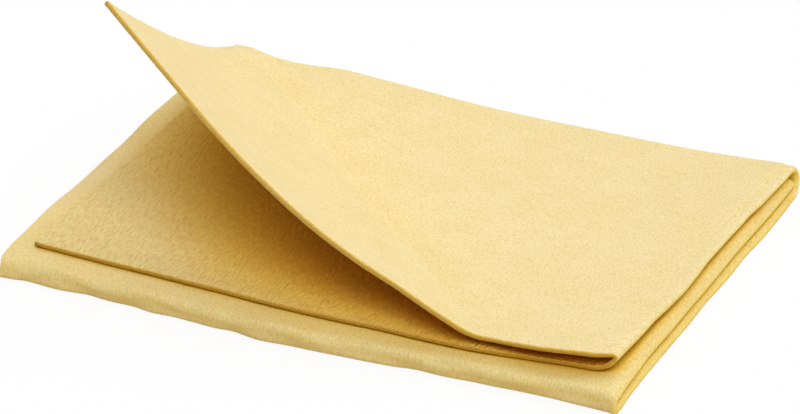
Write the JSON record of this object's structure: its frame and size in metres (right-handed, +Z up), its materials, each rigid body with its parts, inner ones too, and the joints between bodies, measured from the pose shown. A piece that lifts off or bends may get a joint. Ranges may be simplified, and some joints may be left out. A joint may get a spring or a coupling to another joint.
{
  "type": "chamois cloth",
  "caption": "Folded synthetic chamois cleaning cloth with raw cut edges, rolled folds and a free corner that lifts and curls; the top panel opens back on its fold.",
  "frame": {"origin": "on the table, under the middle of the folded pad's bounding box", "axes": "+X to the right, towards the rolled folds; +Y to the back, towards the turn that the top panel opens on; +Z up"},
  "size_m": [0.1768, 0.136, 0.0704],
  "materials": {
    "chamois": "matte non-woven felt with a short nap"
  },
  "bodies": {
    "pad": {"bottom_lower_leaf": "chamois", "bottom_upper_leaf": "chamois", "middle_lower_leaf": "chamois", "middle_upper_leaf": "chamois", "bottom_fold": "chamois", "middle_fold": "chamois", "front_turn_outer": "chamois", "front_turn_inner": "chamois", "front_turn_fold": "chamois", "back_turn_outer": "chamois", "back_turn_inner": "chamois", "back_turn_fold": "chamois"},
    "top_panel": {"top_lower_leaf": "chamois", "top_upper_leaf": "chamois", "top_fold": "chamois"},
    "corner_1": {"corner_strip_1": "chamois"},
    "corner_2": {"corner_strip_2": "chamois"},
    "corner_3": {"corner_strip_3": "chamois"},
    "corner_4": {"corner_strip_4": "chamois"},
    "corner_5": {"corner_strip_5": "chamois"},
    "corner_6": {"corner_strip_6": "chamois"}
  },
  "joints": [
    {"name": "top_panel_open", "type": "hinge", "parent": "pad", "child": "top_panel", "pos_m": [0, 0.06335, 0.00465], "axis": [-1, 0, 0], "range_deg": [0, 120], "deforming": ["back_turn_outer", "back_turn_inner", "back_turn_fold"]},
    {"name": "corner_bend_1", "type": "hinge", "parent": "top_panel", "child": "corner_1", "pos_m": [0.05167, -0.05891, 0.01085], "axis": [-0.7116, 0.7025, -0.0126], "range_deg": [-10, 6], "stiffness_Nm_per_rad": 0.005, "springref_deg": 5.39},
    {"name": "corner_bend_2", "type": "hinge", "parent": "corner_1", "child": "corner_2", "pos_m": [0.04571, -0.05885, 0.01158], "axis": [-0.7016, 0.7124, -0.0153], "range_deg": [-10, 6], "stiffness_Nm_per_rad": 0.005, "springref_deg": 4.79},
    {"name": "corner_bend_3", "type": "hinge", "parent": "corner_2", "child": "corner_3", "pos_m": [0.03989, -0.05864, 0.01303], "axis": [-0.6916, 0.722, -0.0205], "range_deg": [-10, 6], "stiffness_Nm_per_rad": 0.005, "springref_deg": 4.23},
    {"name": "corner_bend_4", "type": "hinge", "parent": "corner_3", "child": "corner_4", "pos_m": [0.01194, -0.05641, 0.02368], "axis": [-0.6387, 0.767, -0.0616], "range_deg": [-7, 4.2], "stiffness_Nm_per_rad": 0.005, "springref_deg": 2.05},
    {"name": "corner_bend_5", "type": "hinge", "parent": "corner_4", "child": "corner_5", "pos_m": [-0.0055, -0.05423, 0.03213], "axis": [-0.6003, 0.7938, -0.0973], "range_deg": [-7, 4.2], "stiffness_Nm_per_rad": 0.005, "springref_deg": 1.06},
    {"name": "corner_bend_6", "type": "hinge", "parent": "corner_5", "child": "corner_6", "pos_m": [-0.02202, -0.05117, 0.04204], "axis": [-0.5598, 0.8164, -0.1418], "range_deg": [-7, 4.2], "stiffness_Nm_per_rad": 0.005, "springref_deg": 0.44}
  ],
  "couplings": [
    {"joint": "corner_bend_1", "follows": "corner_bend_4", "ratio": 1.4286},
    {"joint": "corner_bend_2", "follows": "corner_bend_4", "ratio": 1.4286},
    {"joint": "corner_bend_3", "follows": "corner_bend_4", "ratio": 1.4286},
    {"joint": "corner_bend_5", "follows": "corner_bend_4", "ratio": 1},
    {"joint": "corner_bend_6", "follows": "corner_bend_4", "ratio": 1}
  ]
}
